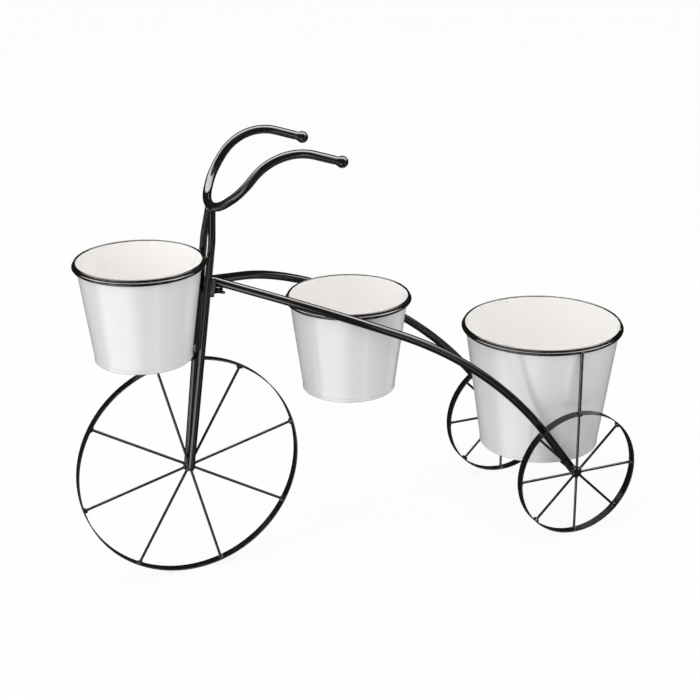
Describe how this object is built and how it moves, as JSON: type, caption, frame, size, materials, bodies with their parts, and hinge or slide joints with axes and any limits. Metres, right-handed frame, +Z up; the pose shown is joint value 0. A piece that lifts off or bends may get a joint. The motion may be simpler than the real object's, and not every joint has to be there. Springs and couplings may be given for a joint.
{
  "type": "bicycle plant stand",
  "caption": "Bicycle-shaped plant stand: black painted steel wheels, fork, handlebar and backbone tubes, with white flower pots that hang by their rolled rims in wire rings and lift out.",
  "frame": {"origin": "on the ground, under the middle of the overall box, so halfway between the front of the front wheel and the back of the large ring, and on the plane between the two rear wheels", "axes": "+Z is up. +X points from the front wheel to the rear wheels, along the stand's length. +Y points to the stand's left-hand rear wheel as named here. The XZ plane is the plane of symmetry, apart from the hexagon of the bolt, which is symmetric too."},
  "size_m": [0.663, 0.1974, 0.488],
  "materials": {
    "black_paint": "gloss black paint over welded steel, even on the bars and thicker at the welds",
    "white_paint": "gloss white paint over thin sheet steel; the rolled rim is brushed black",
    "plain_wire": "plain drawn wire, closed inside the rolled rim"
  },
  "bodies": {
    "frame": {"front_wheel_rim": "black_paint", "front_wheel_spokes": "black_paint", "front_wheel_hub": "black_paint", "rear_wheel_left_rim": "black_paint", "rear_wheel_left_spokes": "black_paint", "rear_wheel_left_hub": "black_paint", "rear_wheel_right_rim": "black_paint", "rear_wheel_right_spokes": "black_paint", "rear_wheel_right_hub": "black_paint", "rear_axle": "black_paint", "handlebar_tube": "black_paint", "ball_end_left": "black_paint", "ball_end_right": "black_paint", "fork_bar_left": "black_paint", "fork_bar_right": "black_paint", "fork_plate": "black_paint", "backbone_plate": "black_paint", "clamp_bolt": "black_paint", "clamp_washer": "black_paint", "wing_nut": "black_paint", "backbone_tube_left": "black_paint", "backbone_tube_right": "black_paint", "front_pot_ring": "black_paint", "middle_pot_ring": "black_paint", "rear_pot_ring": "black_paint", "front_ring_welds": "black_paint", "middle_ring_welds": "black_paint", "ring_post_left": "black_paint", "ring_post_right": "black_paint"},
    "front_pot": {"front_pot_wall": "white_paint", "front_pot_base": "white_paint", "front_pot_rim_wire": "plain_wire"},
    "middle_pot": {"middle_pot_wall": "white_paint", "middle_pot_base": "white_paint", "middle_pot_rim_wire": "plain_wire"},
    "rear_pot": {"rear_pot_wall": "white_paint", "rear_pot_base": "white_paint", "rear_pot_rim_wire": "plain_wire"}
  },
  "joints": [
    {"name": "front_pot_lift", "type": "slide", "parent": "frame", "child": "front_pot", "axis": [0, 0, 1], "range_m": [0, 0.13]},
    {"name": "middle_pot_lift", "type": "slide", "parent": "frame", "child": "middle_pot", "axis": [0, 0, 1], "range_m": [0, 0.13]},
    {"name": "rear_pot_lift", "type": "slide", "parent": "frame", "child": "rear_pot", "axis": [0, 0, 1], "range_m": [0, 0.165]}
  ]
}
